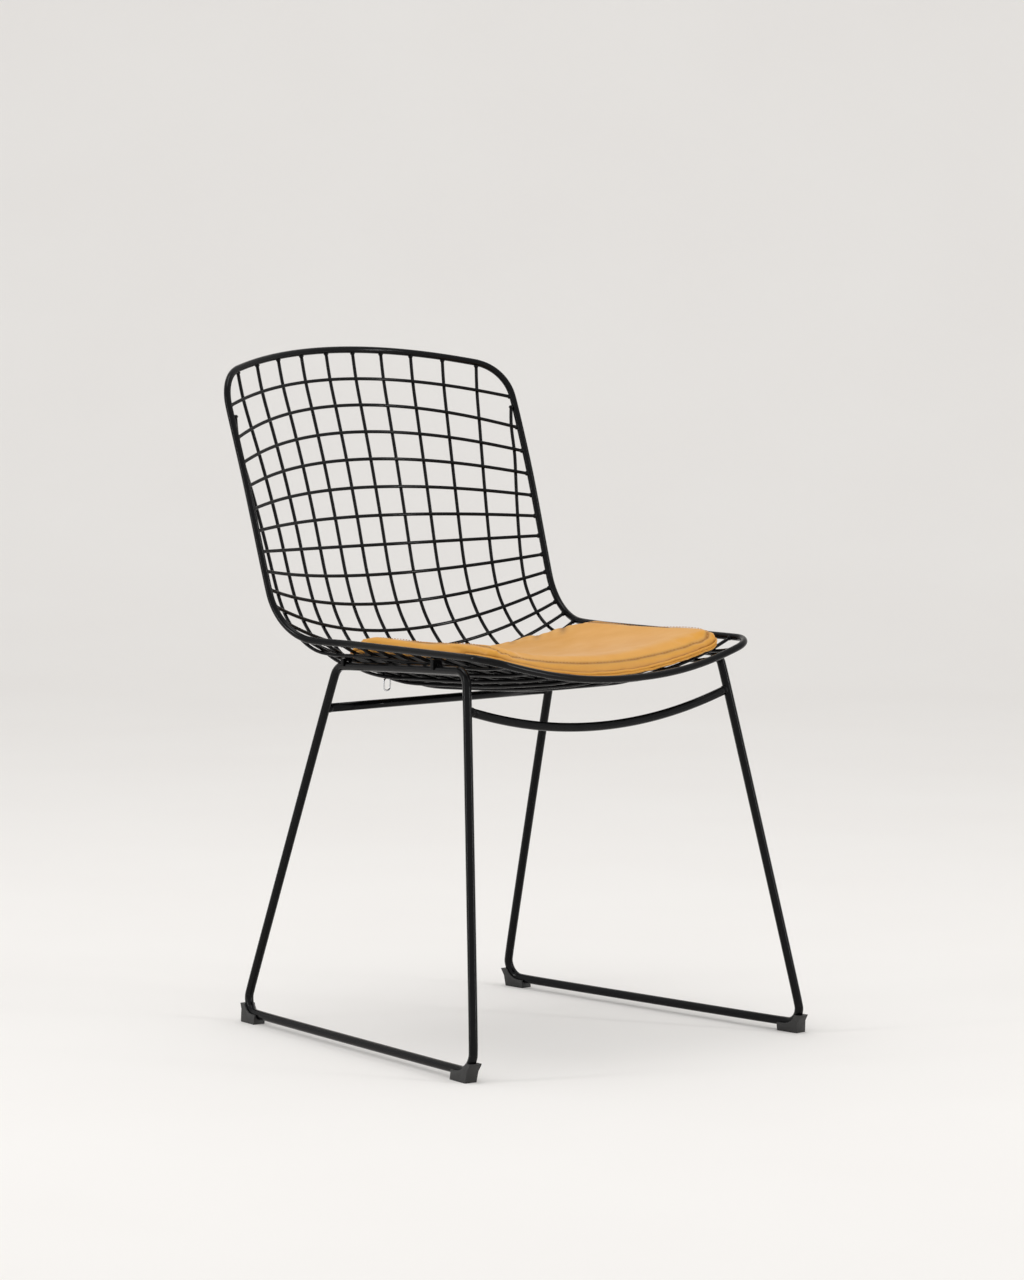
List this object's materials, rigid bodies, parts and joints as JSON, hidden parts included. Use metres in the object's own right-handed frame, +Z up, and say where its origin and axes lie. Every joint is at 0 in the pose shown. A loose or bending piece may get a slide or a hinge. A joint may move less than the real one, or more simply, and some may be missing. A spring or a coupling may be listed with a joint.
{
  "type": "wire mesh chair",
  "caption": "Side chair with a wire mesh shell on a bent rod sled base, with a loose leather seat pad hooked to the mesh.",
  "frame": {"origin": "on the floor, under the middle of the chair's overall box", "axes": "+Z up, the chair faces -Y, +X to the right as seen from the front with the viewer looking along +Y"},
  "size_m": [0.507, 0.5516, 0.7701],
  "materials": {
    "painted_steel": "gloss",
    "glide_plastic": "matte",
    "pad_leather": "satin",
    "strap_leather": "satin",
    "hook_metal": "polished"
  },
  "bodies": {
    "root": {"cross_wire_01": "painted_steel", "cross_wire_02": "painted_steel", "cross_wire_03": "painted_steel", "cross_wire_04": "painted_steel", "cross_wire_05": "painted_steel", "cross_wire_06": "painted_steel", "cross_wire_07": "painted_steel", "cross_wire_08": "painted_steel", "cross_wire_09": "painted_steel", "cross_wire_10": "painted_steel", "cross_wire_11": "painted_steel", "cross_wire_12": "painted_steel", "cross_wire_13": "painted_steel", "cross_wire_14": "painted_steel", "cross_wire_15": "painted_steel", "cross_wire_16": "painted_steel", "cross_wire_17": "painted_steel", "cross_wire_18": "painted_steel", "cross_wire_19": "painted_steel", "cross_wire_20": "painted_steel", "cross_wire_21": "painted_steel", "cross_wire_22": "painted_steel", "front_stretcher": "painted_steel", "glide_front_left": "glide_plastic", "glide_front_right": "glide_plastic", "glide_rear_left": "glide_plastic", "glide_rear_right": "glide_plastic", "lengthwise_wire_l1": "painted_steel", "lengthwise_wire_l2": "painted_steel", "lengthwise_wire_l3": "painted_steel", "lengthwise_wire_l4": "painted_steel", "lengthwise_wire_l5": "painted_steel", "lengthwise_wire_l6": "painted_steel", "lengthwise_wire_r1": "painted_steel", "lengthwise_wire_r2": "painted_steel", "lengthwise_wire_r3": "painted_steel", "lengthwise_wire_r4": "painted_steel", "lengthwise_wire_r5": "painted_steel", "lengthwise_wire_r6": "painted_steel", "pad_strap_left": "strap_leather", "pad_strap_right": "strap_leather", "rear_stretcher": "painted_steel", "rim_rod": "painted_steel", "seat_pad": "pad_leather", "shell_tab_front_left": "painted_steel", "shell_tab_front_right": "painted_steel", "shell_tab_rear_left": "painted_steel", "shell_tab_rear_right": "painted_steel", "side_frame_left": "painted_steel", "side_frame_right": "painted_steel", "strap_hook_left": "hook_metal", "strap_hook_right": "hook_metal"}
  },
  "joints": []
}
